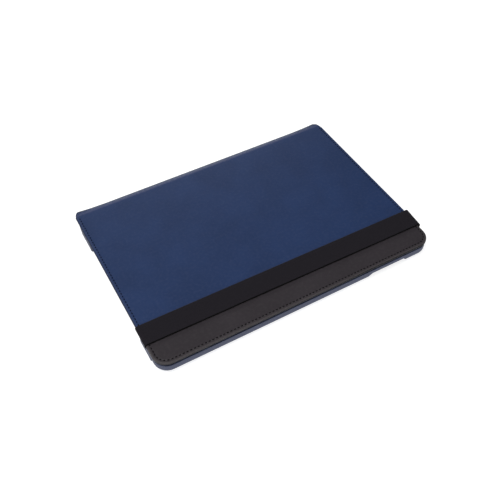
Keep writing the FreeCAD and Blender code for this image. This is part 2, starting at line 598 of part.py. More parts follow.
def keyboard_base():
    """The keyboard's lower case, bonded to the cover's lining."""
    base = plate(-KB_X, KB_X, KB_FRONT, KB_REAR, LINING_Z - BASE_T, LINING_Z, KB_R, KB_R)
    for x, y in boss_places():
        hole = Part.makeCylinder(KB_SCREW_R + FIT, 2 * BASE_T, V(x, y, LINING_Z - 1.5 * BASE_T))
        head = Part.makeCylinder(KB_SCREW_HEAD_R + FIT, PAST, V(x, y, LINING_Z - KB_SCREW_HEAD_T - FIT))
        base = base.cut(hole).cut(head)
    return base


def keyboard_frame():
    """The keyboard's upper case: side walls, screw bosses, and a web with a window for each key."""
    shell = plate(-KB_X, KB_X, KB_FRONT, KB_REAR, LINING_Z - FRAME_D1, LINING_Z - BASE_T, KB_R, KB_R)
    x, front, rear, r = KB_X - KB_WALL, KB_FRONT + KB_WALL, KB_REAR - KB_WALL, KB_R - KB_WALL
    shell = shell.cut(plate(-x, x, front, rear, LINING_Z - FRAME_D0, LINING_Z, r, r))
    half = BOSS / 2
    shell = fuse([shell] + [depth_box(x - half, x + half, y - half, y + half, BASE_T, FRAME_D0)
                            for x, y in boss_places()])
    return shell.cut(Part.makeCompound(key_windows() + control_openings()))


def web_opening(cx, cy, x, y):
    """A rectangular opening through the web, x and y to each side of its centre."""
    return depth_box(cx - x, cx + x, cy - y, cy + y, FRAME_D0 - FIT, FRAME_D1 + PAST)


def key_windows():
    """One opening in the web for each key."""
    return [web_opening(cx, cy, w / 2 + WINDOW_PLAY, h / 2 + WINDOW_PLAY) for _, cx, cy, w, h in key_places()]


def control_openings():
    """The openings for the switch, the pairing button, the lenses, the charging socket and the screws."""
    web_z = LINING_Z - FRAME_D1
    cuts = [web_opening(switch_x(), strip_y(), SWITCH_SLOT / 2, SWITCH_W / 2 + BUTTON_PLAY)]
    cuts.append(cylinder(BUTTON_R + BUTTON_PLAY, 3 * PAST, V(pair_x(), strip_y(), web_z), Z_AXIS))
    cuts += [cylinder(LENS_R + FIT, 3 * PAST, p + Z_AXIS * web_z, Z_AXIS) for p in lens_places()]
    y, side_x = PORT_W / 2, -KB_X + KB_WALL
    cuts.append(depth_box(-KB_X - PAST, side_x + PAST, strip_y() - y, strip_y() + y, BASE_T, FRAME_D0))
    bottom = LINING_Z - BASE_T - KB_SCREW_HOLE
    cuts += [Part.makeCylinder(KB_SCREW_R + FIT, KB_SCREW_HOLE, V(x, y, bottom)) for x, y in boss_places()]
    return cuts


def keyboard_screws():
    """The screws that join the keyboard's two cases."""
    screws = []
    for x, y in boss_places():
        head = Part.makeCylinder(KB_SCREW_HEAD_R, KB_SCREW_HEAD_T, V(x, y, LINING_Z - KB_SCREW_HEAD_T))
        shank = Part.makeCylinder(KB_SCREW_R, KB_SCREW_L - FIT, V(x, y, LINING_Z - KB_SCREW_L))
        screws.append(fuse([head, shank]))
    return Part.makeCompound(screws)


def keys_end():
    """Where the keys end and the strip with the electronics starts."""
    return KB_REAR - REAR_STRIP


def key_layer(d0, d1):
    """A flat layer under the keys, clear of the walls and the front bosses."""
    x = KB_X - KB_WALL - LAYER_PLAY
    return depth_box(-x, x, KB_FRONT + KB_WALL + LAYER_PLAY + BOSS, keys_end(), d0, d1)


def key_backplate():
    """The thin steel plate that the scissors hook into."""
    return key_layer(BASE_T, BASE_T + BACKPLATE_T)


def membrane_circuit():
    """The switch membrane on the backplate, with its tail to the controller board."""
    d0 = BASE_T + BACKPLATE_T
    tail = depth_box(TAIL_X0, TAIL_X1, keys_end(), keys_end() + TAIL_L, d0, d0 + MEMBRANE_T)
    return fuse([key_layer(d0, d0 + MEMBRANE_T), tail])


def controller_board():
    """The circuit board behind the keys, with its main parts."""
    y0, y1 = keys_end() + PCB_FROM_KEYS, KB_REAR - KB_WALL - PCB_FROM_REAR
    d0, top = BASE_T + PCB_GAP, BASE_T + PCB_GAP + PCB_T
    parts = [depth_box(-KB_X + PCB_FROM_SIDE, PCB_END_X, y0, y1, d0, top)]
    for x, a, b in CHIPS:
        parts.append(depth_box(x - a / 2, x + a / 2, strip_y() - b / 2, strip_y() + b / 2, top, top + CHIP_T))
    return fuse(parts)


def battery():
    """The flat lithium cell behind the keys."""
    x1, y0 = BATTERY_X + BATTERY_L, keys_end() + BATTERY_FROM_KEYS
    top = LINING_Z - BASE_T - PCB_GAP
    return plate(BATTERY_X, x1, y0, y0 + BATTERY_W, top - BATTERY_T, top, BATTERY_R, BATTERY_R)


def charge_port():
    """The charging socket in the keyboard's side."""
    x0, d0 = -KB_X + LAYER_PLAY, BASE_T + FIT
    x1, d1 = x0 + PORT_DEPTH, BASE_T + PORT_H - PORT_PLAY
    y, wall = PORT_W / 2 - FIT, PORT_WALL
    outer = depth_box(x0, x1, strip_y() - y, strip_y() + y, d0, d1)
    y -= wall
    hollow = depth_box(x0 - PAST, x1 - wall, strip_y() - y, strip_y() + y, d0 + wall, d1 - wall)
    y, middle = PORT_TONGUE_W / 2, (d0 + d1 - PORT_TONGUE_T) / 2
    tongue = depth_box(x0 + PAST, x1, strip_y() - y, strip_y() + y, middle, middle + PORT_TONGUE_T)
    return fuse([outer.cut(hollow), tongue])


def power_switch():
    """The sliding power switch, at its off end."""
    x0 = switch_x() - SWITCH_SLOT / 2 + SWITCH_PLAY
    y, top = SWITCH_W / 2, FRAME_D1 + KNOB_PROUD
    knob = depth_box(x0, x0 + SWITCH_KNOB, strip_y() - y, strip_y() + y, CONTROL_D, top)
    for i in range(SWITCH_RIBS):
        groove = x0 + (i + 1) * SWITCH_KNOB / (SWITCH_RIBS + 1) - SWITCH_RIB_W / 2
        knob = knob.cut(depth_box(groove, groove + SWITCH_RIB_W, strip_y() - y, strip_y() + y,
                                  top - SWITCH_RIB_DEPTH, top + PAST))
    return knob


def pair_button():
    """The small round pairing button."""
    top = FRAME_D1 + KNOB_PROUD
    return Part.makeCylinder(BUTTON_R, top - PAIR_D, V(pair_x(), strip_y(), LINING_Z - top))


def indicator_lenses():
    """Three clear light pipes through the upper case."""
    return Part.makeCompound([Part.makeCylinder(LENS_R, FRAME_D1 - FRAME_D0 + LENS_INSIDE,
                                                p + Z_AXIS * (LINING_Z - FRAME_D1)) for p in lens_places()])


# ---- every node ----------------------------------------------------------------------------------
def nodes():
    """Every node's shape by name."""
    made = {
        "tray_shell": tray_shell(),
        "tray_liner": tray_liner(),
        "rear_flap": rear_flap(),
        "hinge_bracket_left": hinge_bracket(HINGE_XS[0]),
        "hinge_bracket_right": hinge_bracket(HINGE_XS[1]),
        "hinge_pins": hinge_pins(),
        "hinge_screws": hinge_screws(),
        "stand_magnets": stand_magnets(),
        "kickstand_plate": kickstand_plate(),
        "kickstand_foot": kickstand_foot(),
        "spine_leather": spine_leather(),
        "spine_lining": spine_lining(),
        "cover_leather": cover_leather(),
        "cover_trim_strip": cover_trim_strip(),
        "cover_board": cover_board(),
        "cover_lining": cover_lining(),
        "closure_magnets": closure_magnets(),
        "elastic_strap": elastic_strap(),
        "keyboard_base": keyboard_base(),
        "keyboard_frame": keyboard_frame(),
        "keyboard_screws": keyboard_screws(),
        "key_backplate": key_backplate(),
        "membrane_circuit": membrane_circuit(),
        "dome_sheet": domes(),
        "scissor_frames": scissor_frames(),
        "controller_board": controller_board(),
        "battery": battery(),
        "charge_port": charge_port(),
        "power_switch": power_switch(),
        "pair_button": pair_button(),
        "indicator_lenses": indicator_lenses(),
    }
    caps = {}
    for node, *place in key_places():
        caps.setdefault(node, []).append(key_cap(*place))
    for node, solids in caps.items():
        made[node] = Part.makeCompound(solids)
    return made


def main():
    os.makedirs("parts", exist_ok=True)
    for name, shape in nodes().items():
        if not shape.isValid() or not shape.Solids:
            raise ValueError("not a valid solid: " + name)
        shape.exportStep("parts/" + name + ".step")
        size = shape.BoundBox
        lengths = f"{size.XLength:7.2f} {size.YLength:7.2f} {size.ZLength:6.2f}"
        print(f"{name:22s} {len(shape.Solids):3d} solids  {lengths}")


main()
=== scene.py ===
"""Looks of the folio keyboard case: leathers, strap, tray, keyboard, floor, lights and camera."""

import math

import bpy
import bmesh
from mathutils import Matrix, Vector


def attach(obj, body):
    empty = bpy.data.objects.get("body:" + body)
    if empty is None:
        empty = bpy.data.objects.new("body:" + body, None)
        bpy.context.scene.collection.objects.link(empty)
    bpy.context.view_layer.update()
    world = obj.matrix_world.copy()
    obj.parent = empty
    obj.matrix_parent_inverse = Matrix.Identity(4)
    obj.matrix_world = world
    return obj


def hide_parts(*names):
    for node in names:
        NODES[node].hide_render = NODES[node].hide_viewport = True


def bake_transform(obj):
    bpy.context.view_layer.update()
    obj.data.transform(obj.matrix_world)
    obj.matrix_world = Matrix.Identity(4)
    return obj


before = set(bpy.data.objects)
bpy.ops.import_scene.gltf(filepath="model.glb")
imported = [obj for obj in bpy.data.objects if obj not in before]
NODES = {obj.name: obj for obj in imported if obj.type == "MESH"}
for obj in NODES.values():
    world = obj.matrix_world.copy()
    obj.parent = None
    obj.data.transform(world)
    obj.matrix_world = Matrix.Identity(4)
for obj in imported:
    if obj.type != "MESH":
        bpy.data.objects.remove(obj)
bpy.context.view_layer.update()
MM = 0.001

# ---- sizes shared with the CAD, in millimetres ---------------------------------------------------
COVER_X, COVER_FRONT, COVER_R = 127.5, -90.8, 12.0
LINING_Z, BOARD_Z, COVER_TOP = 12.1, 12.5, 14.4
RIM_T = COVER_TOP - BOARD_Z  # the cover's turned rim, from its top to the lining
SPINE_CY, SPINE_R, SPINE_START = 83.6, 7.2, 74.0
REAR_Y, REAR_R_LEFT, REAR_R_RIGHT = SPINE_CY + 6.2, 9.0, 11.0
SPRING_X = 98.0
SPRING_LEFT, SPRING_RIGHT = 1.6, 1.3  # how far the spine leather springs out at its ends, from SPRING_X on
ACROSS = (-112.0, -SPRING_X, -50.0, 0.0, 50.0, SPRING_X, 112.0)  # points across the leather's flat middle
FOLD_Y, SHADE_Y = SPINE_CY + 0.3, SPINE_CY + 2.4  # where a highlight is painted along the fold, and from where shade is painted on the turn
SPINE_IN = 3.6  # how far the leather draws in at each side, half way round the spine
LEATHER_T, SPINE_T = 0.8, 1.2
FLAP_DEEP, FLAP_SHORT, FLAP_INSET, STAND_X = 21.0, 3.2, 6.5, 62.0
SEAM_Y = -60.55
STRAP_Y, STRAP_W, STRAP_T, STRAP_SKEW = -60.7, 19.2, 1.2, 1.55
STRAP_LEFT, STRAP_RIGHT = 127.95, 129.9  # how far out the band's middle passes each edge
STRAP_GAP, STRAP_HEM = 0.08, 0.6  # from the leather up to the band, and from the lining down to its sewn ends
UNDER_BEND, OVER_BEND = 0.9, 1.9  # radii of the band's middle where it turns under and over the cover's edge
FRONT_SHADOW_W = 0.45  # width of the black shadow painted along the band's front edge
STRAP_FLARE = 0.6  # how far the band's rear corner stands out past its middle at the right edge
FLARE_X = 100.0  # where the flare starts
STRAP_CORDS, CORD_DEPTH = 15, 0.042  # lengthwise cords of the band, their depth as a share of its thickness
STRETCH = 0.9  # how far the navy leather has stretched past the board at the right end of the seam
STITCH_IN, STITCH_PITCH, STITCH_SUNK = 2.8, 3.1, 0.12
LINING_STITCH = 0.06  # how far the stitches' middle stands out below the lining
UNIT_X, UNIT_Y, HALF_ROW, KEY_GAP, ARROW_GAP = 16.8, 17.0, 10.2, 2.4, 0.6
KB_REAR, REAR_STRIP = 78.95, 17.0
CAP_LOW, CAP_TOP = LINING_Z - 3.1, LINING_Z - 4.8


# ---- mesh helpers --------------------------------------------------------------------------------
def add_mesh(name, verts, faces, material, smooth=True):
    """A new object from points in millimetres."""
    mesh = bpy.data.meshes.new(name)
    mesh.from_pydata([Vector(v) * MM for v in verts], [], faces)
    mesh.validate()
    bm = bmesh.new()
    bm.from_mesh(mesh)
    bmesh.ops.recalc_face_normals(bm, faces=bm.faces)
    bm.to_mesh(mesh)
    bm.free()
    for polygon in mesh.polygons:
        polygon.use_smooth = smooth
    obj = bpy.data.objects.new(name, mesh)
    bpy.context.scene.collection.objects.link(obj)
    mesh.materials.append(material)
    return obj


def grid_faces(rows, cols, close_cols=True, cap_ends=True):
    """Faces over rows of cols points each; columns may close on themselves and the end rows may be capped."""
    faces = []
    for r in range(rows - 1):
        for c in range(cols if close_cols else cols - 1):
            d = (c + 1) % cols
            faces.append((r * cols + c, r * cols + d, (r + 1) * cols + d, (r + 1) * cols + c))
    if cap_ends:
        faces.append(tuple(range(cols)))
        faces.append(tuple(range((rows - 1) * cols, rows * cols)))
    return faces


def rounded_rectangle(w, h, r, segments=5):
    """Points of a rounded rectangle centred on the origin."""
    r = max(min(r, w / 2 - 0.01, h / 2 - 0.01), 0.01)
    points = []
    for quarter, (sx, sy) in enumerate([(1, 1), (-1, 1), (-1, -1), (1, -1)]):
        for i in range(segments + 1):
            a = math.radians(90 * quarter + 90 * i / segments)
            points.append((sx * (w / 2 - r) + r * math.cos(a), sy * (h / 2 - r) + r * math.sin(a)))
    return points


def stacked(cx, cy, w, h, r, levels):
    """Points and faces of a rounded block: each level is (inset, z)."""
    verts, count = [], None
    for inset, z in levels:
        ring = rounded_rectangle(w - 2 * inset, h - 2 * inset, r - inset * 0.6)
        verts += [(cx + x, cy + y, z) for x, y in ring]
        count = len(ring)
    return verts, grid_faces(len(levels), count)


def merge(parts):
    """Several (verts, faces) as one."""
    verts, faces = [], []
    for v, f in parts:
        base = len(verts)
        verts += v
        faces += [tuple(i + base for i in face) for face in f]
    return verts, faces


def paint(obj, name, weight):
    """Stores weight(point in millimetres) on the object's points as a float attribute."""
    layer = obj.data.attributes.new(name, "FLOAT", "POINT")
    for i, v in enumerate(obj.data.vertices):
        layer.data[i].value = weight(v.co / MM)
    return obj


# ---- material helpers ----------------------------------------------------------------------------
class Surface:
    """A principled material with small helpers for its procedural nodes."""

    def __init__(self, name, roughness=0.5, **inputs):
        self.material = bpy.data.materials.new(name)
        self.material.use_nodes = True
        self.tree = self.material.node_tree
        self.shader = self.tree.nodes["Principled BSDF"]
        self.shader.inputs["Roughness"].default_value = roughness
        for key, value in inputs.items():
            self.shader.inputs[key.replace("_", " ")].default_value = value
        self.place = self.tree.nodes.new("ShaderNodeTexCoord").outputs["Object"]

    def node(self, kind, **settings):
        made = self.tree.nodes.new(kind)
        for key, value in settings.items():
            setattr(made, key, value)
        return made

    def link(self, a, b):
        self.tree.links.new(a, b)
        return b

    def noise(self, scale, detail=4.0, stretch=None):
        made = self.node("ShaderNodeTexNoise")
        made.inputs["Scale"].default_value = scale
        made.inputs["Detail"].default_value = detail
        self.link(self.stretched(stretch), made.inputs["Vector"])
        return made.outputs["Fac"]

    def cells(self, scale, feature="F1", stretch=None):
        made = self.node("ShaderNodeTexVoronoi", feature=feature)
        made.inputs["Scale"].default_value = scale
        self.link(self.stretched(stretch), made.inputs["Vector"])
        return made.outputs["Distance"]

    def wave(self, scale, direction, distortion=0.0, stretch=None):
        made = self.node("ShaderNodeTexWave", bands_direction=direction)
        made.inputs["Scale"].default_value = scale
        made.inputs["Distortion"].default_value = distortion
        made.inputs["Detail"].default_value = 2.0
        self.link(self.stretched(stretch), made.inputs["Vector"])
        return made.outputs["Fac"]

    def stretched(self, stretch):
        if not stretch:
            return self.place
        made = self.node("ShaderNodeMapping")
        made.inputs["Scale"].default_value = stretch
        self.link(self.place, made.inputs["Vector"])
        return made.outputs["Vector"]

    def attribute(self, name):
        return self.node("ShaderNodeAttribute", attribute_name=name).outputs["Fac"]

    def math(self, operation, a, b=0.5, c=0.0):
        made = self.node("ShaderNodeMath", operation=operation)
        for socket, value in zip(made.inputs, (a, b, c)):
            if isinstance(value, (int, float)):
                socket.default_value = value
            else:
                self.link(value, socket)
        return made.outputs[0]

    def ramp(self, source, stops):
        made = self.node("ShaderNodeValToRGB")
        elements = made.color_ramp.elements
        while len(elements) < len(stops):
            elements.new(0.5)
        for element, (position, value) in zip(elements, stops):
            element.position = position
            element.color = (*value, 1.0) if isinstance(value, tuple) else (value, value, value, 1.0)
        self.link(source, made.inputs["Fac"])
        return made.outputs["Color"]

    def mix(self, factor, a, b, blend="MIX"):
        made = self.node("ShaderNodeMix", data_type="RGBA", blend_type=blend)
        for socket, value in ((made.inputs["Factor"], factor), (made.inputs[6], a), (made.inputs[7], b)):
            if isinstance(value, (int, float)):
                socket.default_value = value
            elif isinstance(value, tuple):
                socket.default_value = (*value, 1.0)
            else:
                self.link(value, socket)
        return made.outputs[2]

    def colour(self, source):
        self.link(source, self.shader.inputs["Base Color"])

    def rough(self, source, low, high):
        made = self.node("ShaderNodeMapRange")
        made.inputs["To Min"].default_value = low
        made.inputs["To Max"].default_value = high
        self.link(source, made.inputs["Value"])
        self.link(made.outputs["Result"], self.shader.inputs["Roughness"])

    def bump(self, heights):
        """heights: (source, distance in millimetres, strength), laid over one another."""
        below = None
        for source, distance, strength in heights:
            made = self.node("ShaderNodeBump")
            made.inputs["Strength"].default_value = strength
            made.inputs["Distance"].default_value = distance * MM
            self.link(source, made.inputs["Height"])
            if below:
                self.link(below, made.inputs["Normal"])
            below = made.outputs["Normal"]
        self.link(below, self.shader.inputs["Normal"])


def leather(name, base, light, grain=1150.0, roughness=0.34):
    """Fine-grain coated leather: lighter where it is worn and where a highlight is painted along the fold,
    darker and duller where shade is painted along its edges, round the spine's turn and low on the strip's
    rim.
    """
    s = Surface(name, Specular_IOR_Level=0.2)
    cloud = s.noise(38.0, 3.0)
    mottle = s.noise(420.0, 5.0)
    dark = tuple(c * 0.86 for c in base)
    tone = s.mix(s.ramp(cloud, [(0.35, 0.0), (0.68, 1.0)]), dark, base)
    tone = s.mix(s.math("MULTIPLY", s.ramp(mottle, [(0.45, 0.0), (0.75, 1.0)]), 0.12), tone, light)
    # Painted highlight along the fold and on the strip's rim, laid with the rims' wear: mixes the tone
    # towards the light colour.
    worn_and_highlight = s.math("MULTIPLY", s.attribute("worn_and_highlight"), s.math("MULTIPLY_ADD", mottle, 0.9, 0.25))
    tone = s.mix(worn_and_highlight, tone, light)
    # Painted shade: the shade attribute darkens the tone towards a near-black copy of the base colour.
    shade = s.attribute("shade")
    s.colour(s.mix(s.math("MULTIPLY", shade, 0.6), tone, tuple(c * 0.12 for c in base)))
    dull = s.math("MULTIPLY_ADD", shade, 0.7, s.math("MULTIPLY", s.noise(900.0, 2.0), 0.3))
    s.rough(dull, roughness, roughness + 0.4)
    pebbles = s.ramp(s.cells(grain, "DISTANCE_TO_EDGE"), [(0.0, 0.0), (0.22, 1.0)])
    s.bump([(pebbles, 0.05, 0.35), (s.noise(2600.0, 3.0), 0.03, 0.2), (cloud, 0.25, 0.25)])
    return s.material


def elastic(name):
    """Ribbed woven elastic: lengthwise cords crossed by a fine weft, with a black shadow painted along its
    front edge.
    """
    s = Surface(name, 0.85, Sheen_Weight=0.04, Sheen_Roughness=0.4, Specular_IOR_Level=0.12)
    dark, bright = (0.006, 0.005, 0.0072), (0.019, 0.016, 0.0215)
    lint, black = (0.042, 0.038, 0.043), (0.0012, 0.0008, 0.0012)
    cords = s.wave(340.0, "Y")
    weft = s.wave(430.0, "X", 0.4)
    fuzz = s.noise(3200.0, 3.0)
    height = s.math("MULTIPLY_ADD", cords, 0.6, s.math("MULTIPLY", weft, 0.5))
    tone = s.mix(s.ramp(height, [(0.15, 0.0), (0.95, 1.0)]), dark, bright)
    tone = s.mix(s.math("MULTIPLY", s.ramp(fuzz, [(0.5, 0.0), (0.8, 1.0)]), 0.35), tone, lint)
    # Painted shadow: black along the band's front edge.
    s.colour(s.mix(s.attribute("front_shadow"), tone, black))
    s.bump([(height, 0.22, 0.55), (fuzz, 0.08, 0.35)])
    return s.material


def microfibre(name, base, scale=1.0):
    """Brushed microfibre lining with a faint nap."""
    s = Surface(name, 0.9, Sheen_Weight=0.35, Sheen_Roughness=0.5, Specular_IOR_Level=0.2)
    nap = s.noise(70.0 * scale, 4.0, (1.0, 2.2, 1.0))
    fibre = s.noise(2400.0 * scale, 4.0, (1.0, 3.0, 1.0))
    dark, light, tips = (tuple(c * share for c in base) for share in (0.8, 1.25, 1.7))
    tone = s.mix(s.ramp(nap, [(0.35, 0.0), (0.7, 1.0)]), dark, light)
    s.colour(s.mix(s.math("MULTIPLY", fibre, 0.5), tone, tips))
    s.bump([(fibre, 0.12, 0.5), (nap, 0.3, 0.2)])
    return s.material


def moulded(name, base, light, grain=2100.0, roughness=(0.4, 0.52), depth=0.025):
    """Moulded plastic with a spark-eroded texture and faint rub marks."""
    s = Surface(name, Specular_IOR_Level=0.35)
    spots = s.noise(grain, 3.0)
    cloud = s.noise(26.0, 3.0)
    rub = s.noise(300.0, 5.0, (1.0, 6.0, 6.0))
    tone = s.mix(s.ramp(cloud, [(0.3, 0.0), (0.7, 1.0)]), tuple(c * 0.93 for c in base), base)
    s.colour(s.mix(s.math("MULTIPLY", s.ramp(rub, [(0.62, 0.0), (0.8, 1.0)]), 0.3), tone, light))
    s.rough(spots, *roughness)
    s.bump([(spots, depth, 0.35), (cloud, 0.08, 0.1)])
    return s.material


def metal(name, base, roughness=(0.25, 0.42), direction=(1.0, 40.0, 40.0)):
    """Brushed or ground metal."""
    s = Surface(name, Metallic=1.0)
    lines = s.noise(260.0, 6.0, direction)
    s.colour(s.mix(lines, tuple(c * 0.8 for c in base), base))
    s.rough(lines, *roughness)
    s.bump([(lines, 0.01, 0.3)])
    return s.material


def coated(name, base):
    """Powder-coated steel with a fine orange-peel texture and bare scuffs."""
    s = Surface(name, Specular_IOR_Level=0.5)
    peel = s.noise(1500.0, 2.0)
    scuff = s.noise(110.0, 6.0, (0.4, 3.0, 1.0))
    dark, bare = tuple(c * 0.9 for c in base), (0.3, 0.31, 0.33)
    tone = s.mix(s.ramp(s.noise(22.0, 2.0), [(0.3, 0.0), (0.7, 1.0)]), dark, base)
    s.colour(s.mix(s.math("MULTIPLY", s.ramp(scuff, [(0.66, 0.0), (0.74, 1.0)]), 0.35), tone, bare))
    s.rough(peel, 0.38, 0.55)
    s.bump([(peel, 0.035, 0.4)])
    return s.material


def rubber(name, base, ribs=0.0):
    """Matte rubber, ribbed if ribs is given as a wave scale."""
    s = Surface(name, 0.75, Specular_IOR_Level=0.35)
    dusty = tuple(min(1.0, c * 1.6 + 0.01) for c in base)
    s.colour(s.mix(s.ramp(s.noise(500.0, 5.0), [(0.4, 0.0), (0.8, 1.0)]), base, dusty))
    heights = [(s.noise(1900.0, 3.0), 0.04, 0.4)]
    if ribs:
        heights.append((s.wave(ribs, "X"), 0.2, 0.6))
    s.bump(heights)
    return s.material


def thread(name, base):
    """Twisted sewing thread."""
    s = Surface(name, 0.8, Specular_IOR_Level=0.08)
    twist = s.wave(1500.0, "DIAGONAL")
    s.colour(s.mix(twist, tuple(c * 0.45 for c in base), base))
    s.bump([(twist, 0.05, 0.6)])
    return s.material


def printed(name, base):
    """Key legend ink, slightly worn."""
    s = Surface(name, 0.5)
    faded = tuple(c * 0.75 for c in base)
    s.colour(s.mix(s.ramp(s.noise(700.0, 4.0), [(0.35, 0.0), (0.6, 1.0)]), faded, base))
    return s.material


# Each leather's light tone serves its mottle and wear, and the highlight painted along the fold and on the
# strip's rim.
NAVY = leather("navy_leather", (0.0184, 0.0405, 0.119), (0.092, 0.105, 0.19))
CHARCOAL = leather("charcoal_leather", (0.0365, 0.0305, 0.0355), (0.1, 0.09, 0.091), 1050.0, 0.36)
ELASTIC = elastic("woven_elastic")
NAVY_THREAD = thread("navy_thread", (0.004, 0.0075, 0.023))
BLACK_THREAD = thread("black_thread", (0.0055, 0.005, 0.006))
SHELL = moulded("shell_plastic", (0.05, 0.06, 0.113), (0.085, 0.095, 0.155), roughness=(0.5, 0.62))
KEYBOARD = moulded("keyboard_plastic", (0.0155, 0.0165, 0.0195), (0.04, 0.042, 0.047), 1700.0,
                   (0.42, 0.58), 0.04)
KEYCAP = moulded("keycap_plastic", (0.0115, 0.012, 0.0145), (0.03, 0.031, 0.034), 2600.0, (0.4, 0.55), 0.03)
LINING = microfibre("lining_microfibre", (0.021, 0.021, 0.026))
LINER = microfibre("tray_microfibre", (0.026, 0.027, 0.032), 1.3)
STEEL = metal("ground_steel", (0.55, 0.55, 0.56))
NICKEL = metal("nickel_plate", (0.66, 0.64, 0.6), (0.12, 0.25))
STAND = coated("stand_coating", (0.098, 0.115, 0.165))
RUBBER = rubber("foot_rubber", (0.016, 0.016, 0.018), 700.0)
SILICONE = rubber("dome_silicone", (0.55, 0.55, 0.52))
BOARD = microfibre("fibre_board", (0.24, 0.19, 0.13), 0.6)
CIRCUIT = moulded("solder_mask", (0.012, 0.075, 0.03), (0.05, 0.16, 0.08), 900.0, (0.25, 0.35))
FILM = moulded("membrane_film", (0.45, 0.47, 0.44), (0.6, 0.62, 0.58), 500.0, (0.2, 0.3))
FOIL = metal("battery_foil", (0.62, 0.62, 0.64), (0.3, 0.5), (1.0, 3.0, 3.0))
INK = printed("legend_ink", (0.62, 0.63, 0.66))
LENS = moulded("lens_plastic", (0.42, 0.5, 0.44), (0.6, 0.66, 0.6), 900.0, (0.1, 0.2))


# ---- leather of the cover, the spine and the rear flap -------------------------------------------
# Half of the section across the leather, from its edge inward: the turned rim as (distance from the edge,
# share of the thickness), then the groove that the stitches lie in as (distance from the edge, depth).
RIM = [(0.55, 1.0), (0.18, 0.93), (0.02, 0.76), (0.0, 0.55),
       (0.05, 0.36), (0.22, 0.16), (0.55, 0.035), (1.0, 0.0)]
GROOVE = [(1.9, 0.0), (2.35, 0.04), (2.62, 0.14), (STITCH_IN, 0.19),
          (2.98, 0.14), (3.25, 0.04), (3.8, 0.0), (6.0, 0.0)]


def rise(value, start, end):
    """0 at start, 1 at end, in a straight line between them."""
    return min(1.0, max(0.0, (value - start) / (end - start)))


def near(value, middle, reach):
    """1 at the middle, falling in a straight line to 0 at its reach."""
    return max(0.0, 1.0 - abs(value - middle) / reach)


def bell(value, middle, reach):
    """1 at the middle, falling off smoothly."""
    return math.exp(-((value - middle) / reach) ** 2)


def edge_profile(thickness):
    """The section from the edge inward as (distance from the edge, depth below the surface)."""
    return [(inset, share * thickness) for inset, share in RIM] + GROOVE


def section(widths, thickness, y, z, normal, sprung=0.0):
    """A closed ring of points across the leather at a place on its path; sprung, 0 to 1, lifts its ends."""
    ny, nz = normal

    def lift(x):
        most = SPRING_LEFT if x < 0 else SPRING_RIGHT
        return sprung * most * max(0.0, (abs(x) - SPRING_X) / (COVER_X - SPRING_X)) ** 2

    left = [(-widths[0] + inset, depth) for inset, depth in edge_profile(thickness)]
    right = [(widths[1] - inset, depth) for inset, depth in edge_profile(thickness)]
    ring = left + [(x, 0.0) for x in ACROSS] + right[::-1]
    return [(x, y + ny * (lift(x) - depth), z + nz * (lift(x) - depth)) for x, depth in ring]


def stretched_x(y):
    """How far the cover's right edge is from the middle: the navy leather has stretched towards the seam."""
    return COVER_X + (STRETCH * rise(y, SPINE_START, SEAM_Y) if y > SEAM_Y else 0.0)


def edge_distance(p):
    """How far a point of the closed cover is inside the cover's outline, with its rounded corners."""
    x, edge = abs(p.x), stretched_x(p.y) if p.x > 0 else COVER_X
    rear_r = REAR_R_RIGHT if p.x > 0 else REAR_R_LEFT
    inside = edge - x
    for radius, corner_y, outward in ((COVER_R, COVER_FRONT + COVER_R, -1), (rear_r, REAR_Y - rear_r, 1)):
        past = (p.y - corner_y) * outward
        if past > 0:
            inside = min(inside, radius - past)
            if x > edge - radius:
                inside = radius - math.hypot(x - edge + radius, past)
    return inside


def wear_and_highlight(p):
    """How much lighter the leather is at a point: worn on its rim, most on the strip's, where an edge
    highlight is painted too, and a painted highlight along the fold.
    """
    inside = edge_distance(p)
    if p.y < SEAM_Y:
        return 0.9 * near(inside, 0.45, 0.9)
    # Painted highlight along the spine's fold.
    fold = 0.9 * bell(p.y, FOLD_Y, 1.1) if p.z > SPINE_R else 0.0
    return max(0.35 * near(inside, 0.9, 0.8), fold)


def painted_shade(p):
    """How much painted shade the leather has at a point: along its edge, and where it turns down round the
    spine.
    On the strip it is darkest low on the rim, as a painted shadow over the tray's front wall, where the gap
    widens to the right."""
    rim = bell(edge_distance(p), 0.0, 0.7)
    if p.y < SEAM_Y:
        rightward = rise(p.x, -60.0, 60.0)
        low = p.z < COVER_TOP - 1.0 + 0.4 * rightward
        # Painted shadow of the gap between the strip and the tray's front wall.
        return 0.4 + 1.25 * rightward if low else 0.15 * rim
    # Painted shade along the edges and on the spine's turn.
    return max(rim, rise(p.y, SHADE_Y, SHADE_Y + 1.0) if p.z > SPINE_R else 0.0)


def paint_edges(obj):
    """Paints the wear and painted highlight, and the painted shade, on the leather's points."""
    paint(obj, "worn_and_highlight", wear_and_highlight)
    return paint(obj, "shade", painted_shade)


def arc_station(degrees):
    """Place and outward direction on the half round of the spine, at an angle above its middle."""
    a = math.radians(degrees)
    return SPINE_CY + SPINE_R * math.cos(a), SPINE_R + SPINE_R * math.sin(a), (math.cos(a), math.sin(a))


def strip(name, stations, material):
    """Leather swept along stations, each what section takes."""
    rings = [section(*station) for station in stations]
    count = len(rings[0])
    verts = [p for ring in rings for p in ring]
    obj = add_mesh(name, verts, grid_faces(len(rings), count), material)
    sharpen(obj, 50)
    return paint_edges(obj)


def cover_stations():
    """The navy leather from the seam to where it starts round the spine."""
    up = (0.0, 1.0)
    turned_in = [(SEAM_Y + 0.1, 0.7), (SEAM_Y + 0.22, 0.32), (SEAM_Y + 0.5, 0.08), (SEAM_Y + 1.0, 0.0)]
    rows = turned_in + [(y, 0.0) for y in (-55.0, -40.0, 0.0, 40.0, 66.0, SPINE_START)]
    return [((COVER_X, stretched_x(y)), RIM_T, y, COVER_TOP - drop, up) for y, drop in rows]


